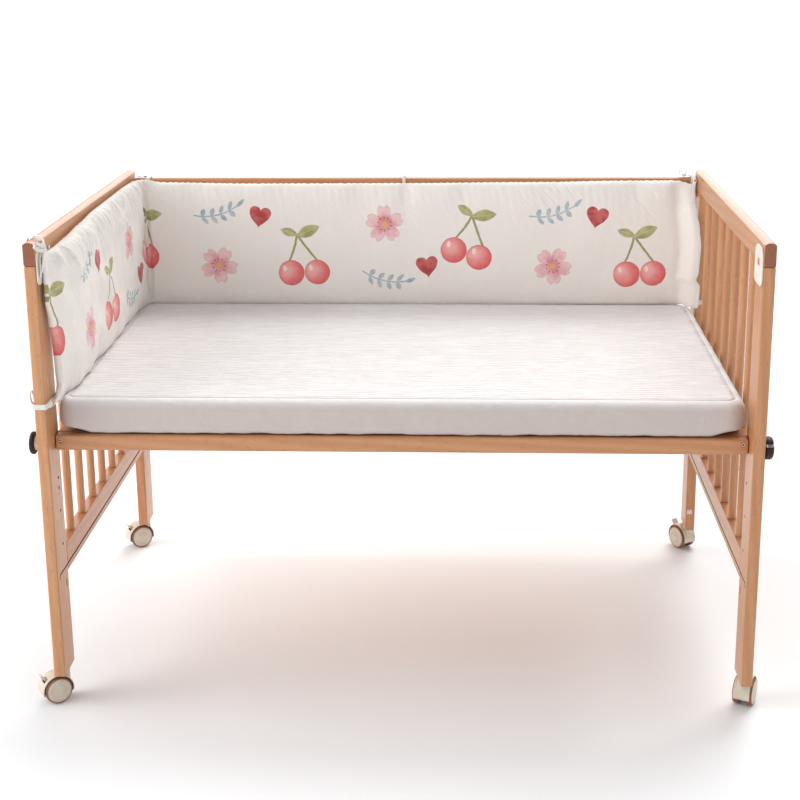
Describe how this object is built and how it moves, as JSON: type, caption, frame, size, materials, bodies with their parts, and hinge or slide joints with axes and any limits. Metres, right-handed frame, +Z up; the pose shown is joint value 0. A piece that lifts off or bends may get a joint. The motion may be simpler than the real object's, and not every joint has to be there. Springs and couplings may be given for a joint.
{
  "type": "crib bumper on a wooden crib",
  "caption": "Padded cotton bumper tied along one end and the back of a wooden crib with an open front, on a mattress, with swivel casters.",
  "frame": {"origin": "on the floor, under the middle of the crib", "axes": "+X along the crib to the end with no padding, +Y from its open front to its back, +Z up"},
  "size_m": [1.299, 0.7938, 0.8573],
  "materials": {
    "beech": "satin lacquered beech",
    "cream_plastic": "matte cream",
    "black_plastic": "matte, nearly black",
    "screw_steel": "bronzed",
    "brown_tread": "matte brown",
    "sheet_cotton": "ribbed cotton",
    "bumper_cotton": "printed cotton",
    "tie_cotton": "plain cotton tape"
  },
  "bodies": {
    "crib": {"front_left_post": "beech", "front_right_post": "beech", "back_left_post": "beech", "back_right_post": "beech", "left_top_rail": "beech", "right_top_rail": "beech", "left_low_rail": "beech", "right_low_rail": "beech", "back_frame": "beech", "front_rail": "beech", "mattress_base": "beech", "left_bar_1": "beech", "left_bar_2": "beech", "left_bar_3": "beech", "left_bar_4": "beech", "left_bar_5": "beech", "left_bar_6": "beech", "left_bar_7": "beech", "right_bar_1": "beech", "right_bar_2": "beech", "right_bar_3": "beech", "right_bar_4": "beech", "right_bar_5": "beech", "right_bar_6": "beech", "right_bar_7": "beech", "left_catch_plate": "cream_plastic", "right_catch_plate": "cream_plastic", "left_knob_collar": "cream_plastic", "right_knob_collar": "cream_plastic", "post_cap": "cream_plastic", "left_knob": "black_plastic", "right_knob": "black_plastic", "left_screw": "screw_steel", "right_screw": "screw_steel", "mattress": "sheet_cotton", "bumper": "bumper_cotton", "front_top_tie": "tie_cotton", "front_foot_tie": "tie_cotton", "corner_tie": "tie_cotton", "middle_tie": "tie_cotton", "right_top_tie": "tie_cotton", "right_foot_tie": "tie_cotton"},
    "front_left_caster": {"front_left_hood": "cream_plastic"},
    "front_left_wheelset": {"front_left_wheels": "brown_tread"},
    "front_left_brake": {"front_left_pedal": "cream_plastic"},
    "front_right_caster": {"front_right_hood": "cream_plastic"},
    "front_right_wheelset": {"front_right_wheels": "brown_tread"},
    "front_right_brake": {"front_right_pedal": "cream_plastic"},
    "back_left_caster": {"back_left_hood": "cream_plastic"},
    "back_left_wheelset": {"back_left_wheels": "brown_tread"},
    "back_left_brake": {"back_left_pedal": "cream_plastic"},
    "back_right_caster": {"back_right_hood": "cream_plastic"},
    "back_right_wheelset": {"back_right_wheels": "brown_tread"},
    "back_right_brake": {"back_right_pedal": "cream_plastic"}
  },
  "joints": [
    {"name": "front_left_swivel", "type": "hinge", "parent": "crib", "child": "front_left_caster", "pos_m": [-0.61, -0.3514, 0.0567], "axis": [0, 0, 1], "continuous": true},
    {"name": "front_left_roll", "type": "hinge", "parent": "front_left_caster", "child": "front_left_wheelset", "pos_m": [-0.62451, -0.36119, 0.025], "axis": [0.5592, -0.829, 0], "continuous": true},
    {"name": "front_left_brake_press", "type": "hinge", "parent": "front_left_caster", "child": "front_left_brake", "pos_m": [-0.63228, -0.36643, 0.03471], "axis": [0.5592, -0.829, 0], "range_deg": [0, 15]},
    {"name": "front_right_swivel", "type": "hinge", "parent": "crib", "child": "front_right_caster", "pos_m": [0.61, -0.3514, 0.0567], "axis": [0, 0, 1], "continuous": true},
    {"name": "front_right_roll", "type": "hinge", "parent": "front_right_caster", "child": "front_right_wheelset", "pos_m": [0.61712, -0.33541, 0.025], "axis": [-0.9135, 0.4067, 0], "continuous": true},
    {"name": "front_right_brake_press", "type": "hinge", "parent": "front_right_caster", "child": "front_right_brake", "pos_m": [0.62093, -0.32685, 0.03471], "axis": [-0.9135, 0.4067, 0], "range_deg": [0, 15]},
    {"name": "back_left_swivel", "type": "hinge", "parent": "crib", "child": "back_left_caster", "pos_m": [-0.61, 0.3514, 0.0567], "axis": [0, 0, 1], "continuous": true},
    {"name": "back_left_roll", "type": "hinge", "parent": "back_left_caster", "child": "back_left_wheelset", "pos_m": [-0.62451, 0.34161, 0.025], "axis": [0.5592, -0.829, 0], "continuous": true},
    {"name": "back_left_brake_press", "type": "hinge", "parent": "back_left_caster", "child": "back_left_brake", "pos_m": [-0.63228, 0.33637, 0.03471], "axis": [0.5592, -0.829, 0], "range_deg": [0, 15]},
    {"name": "back_right_swivel", "type": "hinge", "parent": "crib", "child": "back_right_caster", "pos_m": [0.61, 0.3514, 0.0567], "axis": [0, 0, 1], "continuous": true},
    {"name": "back_right_roll", "type": "hinge", "parent": "back_right_caster", "child": "back_right_wheelset", "pos_m": [0.60073, 0.36624, 0.025], "axis": [-0.848, -0.5299, 0], "continuous": true},
    {"name": "back_right_brake_press", "type": "hinge", "parent": "back_right_caster", "child": "back_right_brake", "pos_m": [0.59576, 0.37419, 0.03471], "axis": [-0.848, -0.5299, 0], "range_deg": [0, 15]}
  ]
}
